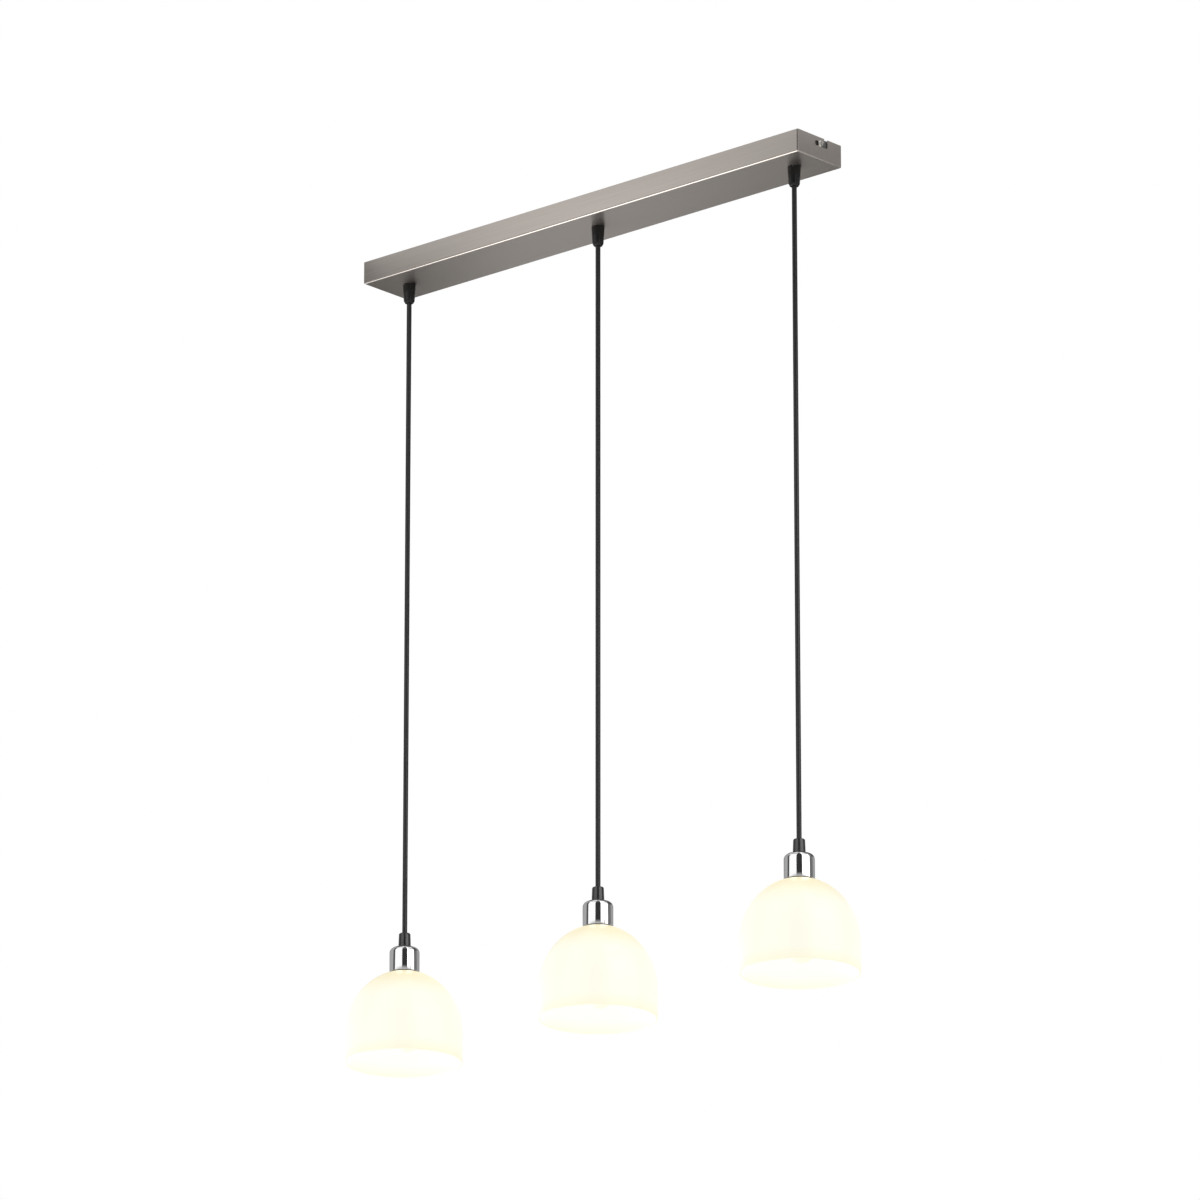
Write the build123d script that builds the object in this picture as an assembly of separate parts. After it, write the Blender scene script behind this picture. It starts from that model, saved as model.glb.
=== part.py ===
from build123d import *
import os
from math import acos, cos, sin, sqrt, tan

# Linear pendant light: a folded sheet-steel ceiling box carries three cords in a row, and each cord
# carries a socket cup, a lampholder, a dome-shaped opal glass shade and a golf-ball lamp.
# Millimetres, +Z up. The origin is on the ceiling, at the middle of the box.
# X runs along the box and the front is towards -Y.

# Ceiling box, a tray folded from sheet and open towards the ceiling
box_length = 700.0
box_width = 80.0
box_height = 28.0
box_sheet = 1.0
box_bend_radius = 2.2

# Row of pendants along the middle of the box, the outer ones set in from its ends
pendant_end_margin = 40.0
pendant_pitch = box_length / 2 - pendant_end_margin
pendant_places = {"left": -1, "middle": 0, "right": 1}

# Bayonet slot in each end wall, hooked over a side screw in the ceiling bracket
slot_width = 6.0
slot_level = 8.5
slot_reach_front = 9.0
slot_entry_back = 11.0
side_screw_diameter = 4.0
side_screw_length = 9.0
side_screw_head_diameter = 8.0
side_screw_head_height = 2.8
side_screw_drive_width = 1.0
side_screw_drive_depth = 1.1

# Ceiling bracket, a strip with a threaded tab bent down at each end
bracket_width = 30.0
bracket_thickness = 1.5
bracket_bend_radius = 2.5
bracket_tab_depth = 17.0
bracket_end_gap = 0.3
ceiling_slot_spacing = 320.0
ceiling_slot_length = 20.0
ceiling_slot_width = 5.5
supply_hole_diameter = 14.0
supply_hole_offset = 85.0

# Cords, and the room that a cord has in a bore
cord_diameter = 6.0
cord_drop = 800.0
cord_clearance = 0.3

# Glands under the ceiling box and grips on the socket cups
gland_base_diameter = 16.0
gland_shoulder_diameter = 13.4
gland_height = 24.0
gland_bevel_height = 3.0
gland_end_diameter = 10.2
gland_mouth_flare = 0.6
grip_base_diameter = 15.0
grip_end_diameter = 13.7
grip_height = 18.0
grip_end_round = 1.6
stem_diameter = 10.0
stem_length = 10.0
nut_across_flats = 14.0
nut_height = 3.5

# Terminal block with an upper and a lower row of ports, and the wires that run to it
block_length = 22.0
block_height = 15.0
block_offset = 30.0
block_round = 0.8
pole_pitch = 10.0
port_depth = 6.0
port_row_drop = 5.5
port_row_pitch = 4.8
terminal_screw_diameter = 4.0
terminal_screw_depth = 3.0
terminal_screw_drive_width = 0.8
terminal_screw_drive_depth = 0.8
wire_diameter = 1.8
wire_rise = 5.0
wire_turn_radius = 3.0
wire_fan_length = 15.0
wire_fan_radius = 6.0
core_ring_radius = 1.5

# Socket cup, drawn from sheet and polished, and the rubber gasket between its foot and the glass
cup_diameter = 36.0
cup_height = 30.8
cup_wall = 0.8
cup_shoulder_radius = 6.5
gasket_height = 1.2
gasket_width = 2.4

# Lampholder: a cap with a threaded boss, a threaded shell and a core with the contacts
holder_diameter = 27.6
holder_wall = 1.6
holder_boss_diameter = 15.0
holder_boss_height = 7.0
holder_cone_height = 8.0
holder_cap_foot = 4.0
holder_spigot_height = 5.0
holder_drop = 40.0
holder_lip = 2.5
core_floor_drop = 17.0
contact_wall = 0.55
centre_contact_diameter = 5.0
centre_contact_height = 2.0

# Opal glass shade: a dome on a straight skirt, with a ground flat seat round its neck hole
shade_diameter = 140.0
shade_skirt_height = 36.0
shade_dome_rise = 77.0
glass_thickness = 3.0
glass_seat_margin = 1.0
glass_seat_round = 1.2

# Shade ring, screwed up the lampholder to clamp the glass
ring_flange_height = 2.2
ring_height = 7.0
ring_collar_diameter = 33.0
ring_notches = 12
ring_notch_diameter = 3.0

# Golf-ball lamp with a small screw cap; its collar meets the globe a little above the globe's middle
lamp_diameter = 45.0
lamp_length = 78.0
lamp_shell = 1.2
lamp_joint_rise = 11.5
lamp_collar_neck_diameter = 16.5
lamp_cap_diameter = 13.9
lamp_cap_length = 23.0
lamp_collar_depth = lamp_length - lamp_diameter / 2 - lamp_joint_rise - lamp_cap_length
lamp_insulator_length = 3.3
lamp_tip_diameter = 4.8
lamp_tip_height = 1.2

# Fits between pieces
thread_fit = 0.15
slip_fit = 0.15
running_fit = 0.3

# Levels in the ceiling box
box_floor = -box_height + box_sheet
cord_pivot = -box_height - gland_height
bracket_underside = -bracket_thickness
upper_row = bracket_underside - port_row_drop
lower_row = upper_row - port_row_pitch
sheath_end = lower_row - wire_rise

# Radii and levels of one pendant, measured from the glass seat under the cup
cord_radius = cord_diameter / 2
bore_radius = cord_radius + cord_clearance
stem_radius = stem_diameter / 2
stem_bore_radius = stem_radius + thread_fit
cup_radius = cup_diameter / 2
cup_top = gasket_height + cup_height
cup_ceiling = cup_top - cup_wall
grip_mouth = cup_top + grip_height
seat_level = cord_pivot - cord_drop - grip_mouth
holder_radius = holder_diameter / 2
holder_bore_radius = holder_radius - 2 * holder_wall
core_radius = holder_bore_radius - slip_fit
core_foot = -holder_drop + holder_lip
core_top = holder_cap_foot + holder_spigot_height
lamp_cap_radius = lamp_cap_diameter / 2
socket_radius = lamp_cap_radius + running_fit
contact_radius = socket_radius + contact_wall
lamp_tip = -core_floor_drop - centre_contact_height - running_fit

# Radii and levels of the glass, measured from the foot of the dome
glass_radius = shade_diameter / 2
glass_inner_radius = glass_radius - glass_thickness
glass_inner_rise = shade_dome_rise - glass_thickness
glass_hole_radius = holder_radius + running_fit + slip_fit
glass_seat_radius = cup_radius + glass_seat_margin
glass_seat_height = shade_dome_rise * sqrt(1 - (glass_seat_radius / glass_radius) ** 2)
glass_ceiling_height = glass_seat_height - glass_thickness
glass_ceiling_radius = glass_inner_radius * sqrt(1 - (glass_ceiling_height / glass_inner_rise) ** 2)


def turned(face):
    """Solid of revolution about Z from a face drawn in radius and height."""
    return revolve(Plane.XZ * face, Axis.Z)


def turned_points(*points):
    """Solid of revolution about Z from the corners of its outline."""
    return turned(make_face(Polyline(*points, close=True)))


def rounded(face, radius, *corners):
    """Outline face with the named corners rounded."""
    vertices = face.vertices().filter_by(
        lambda vertex: any(abs(vertex.X - x) + abs(vertex.Y - y) < 0.01 for x, y in corners)
    )
    return fillet(vertices, radius)


def circles_at(solid, level, radius):
    """Round edges of a turned solid at one level and radius."""
    edges = solid.edges().filter_by(GeomType.CIRCLE)
    return edges.filter_by(lambda edge: abs(edge.center().Z - level) < 0.01 and abs(edge.radius - radius) < 0.01)


def tray(length, width, height, radius):
    """Box that hangs below the ceiling with its folds rounded and its top edges square."""
    block = Box(length, width, height, align=(Align.CENTER, Align.CENTER, Align.MAX))
    folds = block.edges().filter_by(lambda edge: edge.center().Z < -height / 4)
    return fillet(folds, radius)


def bayonet_slot():
    """Cutter for the slot in the right end wall: an entry from the top edge and a run towards the front."""
    slot_radius = slot_width / 2
    run_front = -slot_reach_front + slot_radius
    run_length = slot_entry_back - run_front
    run = Pos((slot_entry_back + run_front) / 2, -slot_level) * SlotCenterToCenter(run_length, slot_width)
    entry = Pos(slot_entry_back, 0) * Rectangle(slot_width, 2 * slot_level)
    cut_depth = 2 * box_bend_radius
    wall_plane = Plane.YZ.offset(box_length / 2 - cut_depth / 2)
    return extrude(wall_plane * (run + entry), cut_depth)


def ceiling_box():
    inner_radius = box_bend_radius - box_sheet
    shell = tray(box_length, box_width, box_height, box_bend_radius)
    shell -= tray(box_length - 2 * box_sheet, box_width - 2 * box_sheet, box_height - box_sheet, inner_radius)
    for place in pendant_places.values():
        shell -= Pos(place * pendant_pitch, 0, box_floor) * Cylinder(stem_bore_radius, 4 * box_sheet)
    slot = bayonet_slot()
    return shell - slot - mirror(slot, about=Plane.YZ)


def ceiling_bracket():
    length = box_length - 2 * box_sheet - 2 * bracket_end_gap
    strip = Box(length, bracket_width, bracket_tab_depth, align=(Align.CENTER, Align.CENTER, Align.MAX))
    strip = fillet(strip.edges().filter_by(Axis.Y).group_by(Axis.Z)[-1], bracket_bend_radius)
    inside = Box(
        length - 2 * bracket_thickness,
        bracket_width,
        bracket_tab_depth - bracket_thickness,
        align=(Align.CENTER, Align.CENTER, Align.MAX),
    )
    inner_edges = inside.edges().filter_by(Axis.Y).group_by(Axis.Z)[-1]
    inside = fillet(inner_edges, bracket_bend_radius - bracket_thickness)
    strip -= Pos(0, 0, bracket_underside) * inside
    ceiling_slot = extrude(SlotOverall(ceiling_slot_length, ceiling_slot_width), bracket_thickness, both=True)
    for side in (-1, 1):
        strip -= Pos(side * ceiling_slot_spacing / 2, 0, 0) * ceiling_slot
    strip -= Pos(supply_hole_offset, 0, 0) * Cylinder(supply_hole_diameter / 2, 4 * bracket_thickness)
    tab_bore = Rot(0, 90, 0) * Cylinder(side_screw_diameter / 2 + thread_fit, 2 * length)
    return strip - Pos(0, 0, -slot_level) * tab_bore


def side_screws():
    shank = Cylinder(side_screw_diameter / 2, side_screw_length, align=(Align.CENTER, Align.CENTER, Align.MAX))
    head_radius = side_screw_head_diameter / 2
    head = Cylinder(head_radius, side_screw_head_height, align=(Align.CENTER, Align.CENTER, Align.MIN))
    head = fillet(circles_at(head, side_screw_head_height, head_radius), 0.6 * side_screw_head_height)
    drive = Box(side_screw_head_diameter, side_screw_drive_width, 2 * side_screw_drive_depth)
    screw = shank + head - Pos(0, 0, side_screw_head_height) * drive
    right = Pos(box_length / 2, 0, -slot_level) * Rot(0, 90, 0) * screw
    return [right, mirror(right, about=Plane.YZ)]


def ceiling_gland():
    """Tapered gland below the box floor with a threaded stem through it, base at level 0."""
    shoulder_level = -gland_height + gland_bevel_height
    mouth_radius = bore_radius + gland_mouth_flare
    return turned_points(
        (bore_radius, stem_length),
        (stem_radius, stem_length),
        (stem_radius, 0),
        (gland_base_diameter / 2, 0),
        (gland_shoulder_diameter / 2, shoulder_level),
        (gland_end_diameter / 2, -gland_height),
        (mouth_radius, -gland_height),
        (bore_radius, -gland_height + gland_bevel_height),
    )


def lock_nut():
    nut = extrude(RegularPolygon(nut_across_flats / 2, 6, major_radius=False), nut_height)
    return nut - Cylinder(stem_bore_radius, 4 * nut_height)


def lamp_grip():
    """Tapered grip on top of the socket cup with a threaded stem into the lampholder, base at level 0."""
    end_radius = grip_end_diameter / 2
    grip = turned_points(
        (bore_radius, -stem_length),
        (stem_radius, -stem_length),
        (stem_radius, 0),
        (grip_base_diameter / 2, 0),
        (end_radius, grip_height),
        (bore_radius, grip_height),
    )
    return fillet(circles_at(grip, grip_height, end_radius), grip_end_round)


def hanging_cord():
    """Cord of one pendant, domed about its pivot in the gland and running through the grip to the core."""
    foot = seat_level + core_top
    length = cord_pivot - foot
    run = Cylinder(cord_radius, length, align=(Align.CENTER, Align.CENTER, Align.MAX))
    return Pos(0, 0, cord_pivot) * (run + Sphere(cord_radius))


def cord_tail():
    """Sheathed end of a cord, from just above the pivot up through the gland into the box."""
    foot = cord_pivot + cord_radius + cord_clearance
    return Pos(0, 0, foot) * Cylinder(
        cord_radius, sheath_end - foot, align=(Align.CENTER, Align.CENTER, Align.MIN)
    )


def port_places():
    """Middle of each port of the terminal block: across the box, and its row."""
    return [(pole * pole_pitch, row) for pole in (-1, 0, 1) for row in (upper_row, lower_row)]


def terminal_block():
    width = 3 * pole_pitch
    block = Box(block_length, width, block_height, align=(Align.MIN, Align.CENTER, Align.MAX))
    block = fillet(block.edges().filter_by(Axis.Z), block_round)
    block = Pos(block_offset, 0, bracket_underside) * block
    port = Rot(0, 90, 0) * Cylinder(wire_diameter / 2 + slip_fit, 2 * port_depth)
    well = Cylinder(terminal_screw_diameter / 2 + slip_fit, 2 * terminal_screw_depth)
    for end in (block_offset, block_offset + block_length):
        for across, row in port_places():
            block -= Pos(end, across, row) * port
    for place in terminal_screw_places():
        block -= Pos(*place) * well
    return block


def terminal_screw_places():
    """Middle of each terminal screw on the underside of the block."""
    underside = bracket_underside - block_height
    middle = block_offset + block_length / 2
    return [
        (middle + side * block_length / 4, pole * pole_pitch, underside)
        for side in (-1, 1)
        for pole in (-1, 0, 1)
    ]


def terminal_screws():
    screw = Cylinder(
        terminal_screw_diameter / 2,
        terminal_screw_depth,
        align=(Align.CENTER, Align.CENTER, Align.MIN),
    )
    screw -= Box(terminal_screw_diameter, terminal_screw_drive_width, 2 * terminal_screw_drive_depth)
    return [Pos(*place) * screw for place in terminal_screw_places()]


def box_wire(place, pole):
    """One insulated wire from a cord's sheath to its port, rising first and then fanning out to its pole."""
    towards = -1 if place > 0 else 1
    row = upper_row if place < 0 else lower_row
    block_face = block_offset if towards > 0 else block_offset + block_length
    across = pole * core_ring_radius * sqrt(3) / 2
    along = place * pendant_pitch + towards * core_ring_radius * (1 - 1.5 * abs(pole))
    port_across = pole * pole_pitch
    points = [(along, across, sheath_end), (along, across, row)]
    radii = [wire_turn_radius]
    if pole:
        points.append((along + towards * wire_fan_length, port_across, row))
        radii.append(wire_fan_radius)
    points.append((block_face + towards * port_depth, port_across, row))
    route = FilletPolyline(*points, radius=radii)
    section = Plane(route @ 0, z_dir=route % 0) * Circle(wire_diameter / 2)
    return sweep(section, path=route)


def box_wires(pole):
    return [box_wire(place, pole) for place in pendant_places.values()]


def socket_cup():
    """Drawn cup, open below, with a rounded shoulder and a hole for the grip's stem; it stands on its gasket."""
    foot = Pos(0, 0, gasket_height)
    cup = foot * Cylinder(cup_radius, cup_height, align=(Align.CENTER, Align.CENTER, Align.MIN))
    cup = fillet(circles_at(cup, cup_top, cup_radius), cup_shoulder_radius)
    inner_radius = cup_radius - cup_wall
    hollow = foot * Cylinder(inner_radius, cup_height - cup_wall, align=(Align.CENTER, Align.CENTER, Align.MIN))
    hollow = fillet(circles_at(hollow, cup_ceiling, inner_radius), cup_shoulder_radius - cup_wall)
    return cup - hollow - Pos(0, 0, cup_top) * Cylinder(stem_bore_radius, 4 * cup_wall)


def cup_gasket():
    """Flat rubber washer on the glass seat, flush with the cup's outside."""
    washer = Cylinder(cup_radius, gasket_height, align=(Align.CENTER, Align.CENTER, Align.MIN))
    return washer - Cylinder(cup_radius - gasket_width, 4 * gasket_height)


def holder_cap():
    boss_radius = holder_boss_diameter / 2
    boss_foot = cup_ceiling - holder_boss_height
    cone_foot = boss_foot - holder_cone_height
    inner_radius = holder_radius - holder_wall
    return turned_points(
        (stem_bore_radius, cup_ceiling),
        (boss_radius, cup_ceiling),
        (boss_radius, boss_foot),
        (holder_radius, cone_foot),
        (holder_radius, holder_cap_foot),
        (inner_radius, holder_cap_foot),
        (inner_radius, cone_foot - holder_wall / 2),
        (boss_radius - holder_wall / 2, boss_foot - holder_wall / 2),
        (stem_bore_radius, boss_foot - holder_wall / 2),
    )


def holder_shell():
    spigot_radius = holder_radius - holder_wall - slip_fit
    lip_radius = socket_radius
    return turned_points(
        (holder_bore_radius, core_top),
        (spigot_radius, core_top),
        (spigot_radius, holder_cap_foot),
        (holder_radius, holder_cap_foot),
        (holder_radius, -holder_drop),
        (lip_radius, -holder_drop),
        (lip_radius, core_foot),
        (holder_bore_radius, core_foot),
    )


def holder_core():
    core_bore_radius = contact_radius + slip_fit
    return turned_points(
        (0, core_top),
        (core_radius, core_top),
        (core_radius, core_foot),
        (core_bore_radius, core_foot),
        (core_bore_radius, -core_floor_drop),
        (0, -core_floor_drop),
    )


def lamp_contacts():
    """Threaded side contact inside the core, and the centre contact on the core's floor."""
    side_contact = turned_points(
        (socket_radius, core_foot),
        (contact_radius, core_foot),
        (contact_radius, -core_floor_drop - slip_fit),
        (socket_radius, -core_floor_drop - slip_fit),
    )
    centre_radius = centre_contact_diameter / 2
    centre = Cylinder(centre_radius, centre_contact_height, align=(Align.CENTER, Align.CENTER, Align.MAX))
    centre = fillet(circles_at(centre, -centre_contact_height, centre_radius), centre_contact_height / 2)
    return [side_contact, Pos(0, 0, -core_floor_drop) * centre]


def dome_curve(radius, rise, end_radius):
    """Quarter of an upright ellipse, from its widest level up to the radius where it ends."""
    turn = acos(end_radius / radius)
    pull = 4 / 3 * tan(turn / 4)
    end = Vector(radius * cos(turn), rise * sin(turn))
    end_pull = Vector(radius * pull * sin(turn), -rise * pull * cos(turn))
    return Bezier((radius, 0), (radius, rise * pull), end + end_pull, end)


def glass_shade():
    """Opal glass dome with a straight skirt; its seat is at level 0 and it opens downwards."""
    outer_dome = dome_curve(glass_radius, shade_dome_rise, glass_seat_radius)
    inner_dome = dome_curve(glass_inner_radius, glass_inner_rise, glass_ceiling_radius)
    neck = Polyline(
        outer_dome @ 1,
        (glass_hole_radius, glass_seat_height),
        (glass_hole_radius, glass_ceiling_height),
        inner_dome @ 1,
    )
    skirt = Polyline(
        inner_dome @ 0,
        (glass_inner_radius, -shade_skirt_height),
        (glass_radius, -shade_skirt_height),
        outer_dome @ 0,
    )
    rim_corners = [(glass_radius, -shade_skirt_height), (glass_inner_radius, -shade_skirt_height)]
    outline = make_face([outer_dome, neck, inner_dome, skirt])
    outline = rounded(outline, 0.45 * glass_thickness, *rim_corners)
    outline = rounded(outline, glass_seat_round, (glass_seat_radius, glass_seat_height))
    return Pos(0, 0, -glass_seat_height) * turned(outline)


def shade_ring():
    """Flanged ring with finger notches, threaded on the lampholder shell below the glass."""
    top = -glass_thickness - running_fit
    bore = holder_radius + running_fit
    flange_radius = glass_ceiling_radius - running_fit
    collar_radius = min(ring_collar_diameter / 2, flange_radius - slip_fit)
    ring = turned_points(
        (bore, top),
        (flange_radius, top),
        (flange_radius, top - ring_flange_height),
        (collar_radius, top - ring_flange_height),
        (collar_radius, top - ring_height),
        (bore, top - ring_height),
    )
    notch = Cylinder(ring_notch_diameter / 2, ring_height, align=(Align.CENTER, Align.CENTER, Align.MAX))
    notch_level = top - ring_flange_height
    for location in PolarLocations(collar_radius + ring_notch_diameter / 4, ring_notches):
        ring -= Pos(0, 0, notch_level) * location * notch
    return ring


def lamp_globe():
    """Opal globe of the lamp, open at the top where it meets the collar."""
    globe_radius = lamp_diameter / 2
    globe_middle = lamp_tip - lamp_length + globe_radius
    joint_level = lamp_tip - lamp_cap_length - lamp_collar_depth
    globe = Sphere(globe_radius) - Sphere(globe_radius - lamp_shell)
    globe = Pos(0, 0, globe_middle) * globe
    return split(globe, Plane.XY.offset(joint_level), keep=Keep.BOTTOM)


def lamp_collar():
    """Moulded collar between the screw cap and the globe, flaring along a tangent arc."""
    neck_radius = lamp_collar_neck_diameter / 2
    neck_level = lamp_tip - lamp_cap_length
    joint_level = neck_level - lamp_collar_depth
    globe_radius = lamp_diameter / 2
    globe_middle = lamp_tip - lamp_length + globe_radius
    joint_radius = sqrt(globe_radius**2 - (joint_level - globe_middle) ** 2)
    flare = TangentArc((neck_radius, neck_level), (joint_radius, joint_level), tangent=(0, -1))
    body = Polyline((joint_radius, joint_level), (0, joint_level), (0, neck_level), (neck_radius, neck_level))
    return turned(make_face([flare, body]))


def lamp_cap():
    """Metal screw cap shell of the lamp, narrowed above to the insulator."""
    foot = lamp_tip - lamp_cap_length
    shoulder = lamp_tip - lamp_tip_height - lamp_insulator_length
    top_radius = lamp_cap_radius - lamp_tip_height
    return turned_points(
        (0, shoulder),
        (top_radius, shoulder),
        (lamp_cap_radius, shoulder - lamp_tip_height),
        (lamp_cap_radius, foot),
        (0, foot),
    )


def lamp_insulator():
    top = lamp_tip - lamp_tip_height
    foot = top - lamp_insulator_length
    return turned_points((0, top), (lamp_tip_diameter / 2, top), (lamp_cap_radius - lamp_tip_height, foot), (0, foot))


def lamp_tip_contact():
    tip_radius = lamp_tip_diameter / 2
    tip = Cylinder(tip_radius, lamp_tip_height, align=(Align.CENTER, Align.CENTER, Align.MAX))
    tip = fillet(circles_at(tip, 0, tip_radius), lamp_tip_height / 2)
    return Pos(0, 0, lamp_tip) * tip


# Pieces in the ceiling box
nodes = {
    "ceiling_box": ceiling_box(),
    "ceiling_bracket": ceiling_bracket(),
    "side_screws": Compound(side_screws()),
    "terminal_block": terminal_block(),
    "terminal_screws": Compound(terminal_screws()),
    "live_wires": Compound(box_wires(-1)),
    "neutral_wires": Compound(box_wires(0)),
    "earth_wires": Compound(box_wires(1)),
}
nuts = [Pos(place * pendant_pitch, 0, box_floor) * lock_nut() for place in pendant_places.values()]
nodes["gland_nuts"] = Compound(nuts)

# Pieces of each pendant, first those placed from the ceiling and then those placed from the glass seat
hung_pieces = {
    "ceiling_gland": Pos(0, 0, -box_height) * ceiling_gland(),
    "cord_tail": cord_tail(),
    "cord": hanging_cord(),
}
seat_pieces = {
    "lamp_grip": Pos(0, 0, cup_top) * lamp_grip(),
    "socket_cup": socket_cup(),
    "cup_gasket": cup_gasket(),
    "holder_cap": holder_cap(),
    "holder_shell": holder_shell(),
    "holder_core": holder_core(),
    "lamp_contacts": Compound(lamp_contacts()),
    "glass_shade": glass_shade(),
    "shade_ring": shade_ring(),
    "lamp_globe": lamp_globe(),
    "lamp_collar": lamp_collar(),
    "lamp_cap": lamp_cap(),
    "lamp_insulator": lamp_insulator(),
    "lamp_tip": lamp_tip_contact(),
}
for place_name, place in pendant_places.items():
    axis_place = Pos(place * pendant_pitch, 0, 0)
    for name, piece in hung_pieces.items():
        nodes[name + "_" + place_name] = axis_place * piece
    for name, piece in seat_pieces.items():
        nodes[name + "_" + place_name] = axis_place * Pos(0, 0, seat_level) * piece

os.makedirs("parts", exist_ok=True)
for name, shape in nodes.items():
    export_step(shape, "parts/" + name + ".step")
print("nodes", len(nodes), "seat level", round(seat_level, 2), "cord pivot", round(cord_pivot, 2))
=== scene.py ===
from math import cos, pi, radians, sin, tau

import bmesh
import bpy
from mathutils import Matrix, Vector


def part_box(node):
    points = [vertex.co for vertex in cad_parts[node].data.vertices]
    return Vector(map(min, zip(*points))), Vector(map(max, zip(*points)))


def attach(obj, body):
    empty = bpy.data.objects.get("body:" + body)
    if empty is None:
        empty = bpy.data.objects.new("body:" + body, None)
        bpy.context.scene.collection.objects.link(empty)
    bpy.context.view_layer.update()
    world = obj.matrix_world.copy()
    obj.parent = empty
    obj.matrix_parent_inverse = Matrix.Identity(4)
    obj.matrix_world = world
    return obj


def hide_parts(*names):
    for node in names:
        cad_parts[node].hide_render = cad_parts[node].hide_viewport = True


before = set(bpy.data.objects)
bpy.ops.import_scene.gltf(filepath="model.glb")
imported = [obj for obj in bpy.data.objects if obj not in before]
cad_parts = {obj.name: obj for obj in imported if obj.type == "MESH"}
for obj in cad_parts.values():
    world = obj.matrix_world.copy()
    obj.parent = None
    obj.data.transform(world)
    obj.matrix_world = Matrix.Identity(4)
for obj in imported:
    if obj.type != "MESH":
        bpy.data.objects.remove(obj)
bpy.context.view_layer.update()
scene = bpy.context.scene


# Ceiling bracket: a strip of cold-rolled steel with a tab bent down at each end, punched for two
# ceiling screws and the supply cable, then zinc-plated. It is screwed to the ceiling first.
MM = 0.001


def linear(hex_colour):
    """sRGB hex colour as linear red, green, blue and alpha."""
    channels = [int(hex_colour[i:i + 2], 16) / 255 for i in (1, 3, 5)]
    return tuple(
        c / 12.92 if c <= 0.04045 else ((c + 0.055) / 1.055) ** 2.4 for c in channels
    ) + (1.0,)


def add_node(tree, kind, inputs, **settings):
    """Node with its settings; each input is a value, or the output of another node to link."""
    node = tree.nodes.new(kind)
    for name, value in settings.items():
        setattr(node, name, value)
    for name, value in inputs.items():
        if isinstance(value, bpy.types.NodeSocket):
            tree.links.new(value, node.inputs[name])
        else:
            node.inputs[name].default_value = value
    return node


def start_material(name):
    """Material with an empty tree, and the piece's own coordinates in metres."""
    material = bpy.data.materials.new(name)
    material.use_nodes = True
    tree = material.node_tree
    tree.nodes.clear()
    place = add_node(tree, "ShaderNodeTexCoord", {}).outputs["Object"]
    return material, tree, place


def end_material(tree, shader_inputs):
    """Principled shader with these inputs on the material's output."""
    shader = add_node(tree, "ShaderNodeBsdfPrincipled", shader_inputs)
    add_node(tree, "ShaderNodeOutputMaterial", {"Surface": shader.outputs["BSDF"]})


def dress(material, *names):
    """Gives CAD nodes a material."""
    for name in names:
        for material_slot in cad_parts[name].material_slots:
            material_slot.material = material


# Passivated zinc plate is a dull middle grey with faint cloudy spangles a few millimetres across.
spangle_size = 6 * MM
zinc_plate, tree, place = start_material("zinc_plated_steel")
spangle = add_node(
    tree, "ShaderNodeTexNoise", {"Vector": place, "Scale": 1 / spangle_size, "Detail": 3.0}
)
zinc_tone = add_node(
    tree,
    "ShaderNodeMix",
    {0: spangle.outputs["Fac"], 6: linear("#6E6E6D"), 7: linear("#8E8E8C")},
    data_type="RGBA",
)
zinc_gloss = add_node(
    tree, "ShaderNodeMapRange", {"Value": spangle.outputs["Fac"], "To Min": 0.42, "To Max": 0.6}
)
end_material(
    tree,
    {
        "Base Color": zinc_tone.outputs[2],
        "Metallic": 1.0,
        "Roughness": zinc_gloss.outputs["Result"],
    },
)
dress(zinc_plate, "ceiling_bracket")


# Terminal block: moulded in ivory polyamide and riveted under the bracket, with a row of brass
# clamps inside; each zinc-plated screw in its underside clamps one wire.
# Polyamide from a textured mould is soft in its shine, with a fine grain and slight clouds of tone.
mould_grain_size = 0.5 * MM
mould_grain_depth = 0.02 * MM
mould_cloud_size = 12 * MM
ivory_polyamide, tree, place = start_material("moulded_ivory_polyamide")
mould_grain = add_node(
    tree, "ShaderNodeTexNoise", {"Vector": place, "Scale": 1 / mould_grain_size, "Detail": 2.0}
)
mould_cloud = add_node(
    tree, "ShaderNodeTexNoise", {"Vector": place, "Scale": 1 / mould_cloud_size, "Detail": 1.0}
)
ivory_tone = add_node(
    tree,
    "ShaderNodeMix",
    {0: mould_cloud.outputs["Fac"], 6: linear("#DCD6C4"), 7: linear("#EAE5D6")},
    data_type="RGBA",
)
ivory_bump = add_node(
    tree,
    "ShaderNodeBump",
    {"Height": mould_grain.outputs["Fac"], "Strength": 0.3, "Distance": mould_grain_depth},
)
end_material(
    tree,
    {
        "Base Color": ivory_tone.outputs[2],
        "Roughness": 0.42,
        "Normal": ivory_bump.outputs["Normal"],
    },
)
dress(ivory_polyamide, "terminal_block")
dress(zinc_plate, "terminal_screws")


# Box wires: stranded copper in extruded PVC, brown for live, blue for neutral and green with yellow
# for earth. They run from the end of each cord's sheath to the terminal block.
wire_colours = {
    "live_wires": ("brown_pvc_insulation", "#4A2A18", "#5A3621"),
    "neutral_wires": ("blue_pvc_insulation", "#1B4B94", "#2458A6"),
    "earth_wires": ("green_and_yellow_pvc_insulation", "#2E7D32", "#D9C22E"),
}
earth_stripe_width = 1.9 * MM
wire_cloud_size = 8 * MM
# At a scale of 1, each stripe of the diagonal wave pattern is this wide along an axis.
unit_stripe_width = tau / 20
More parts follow.
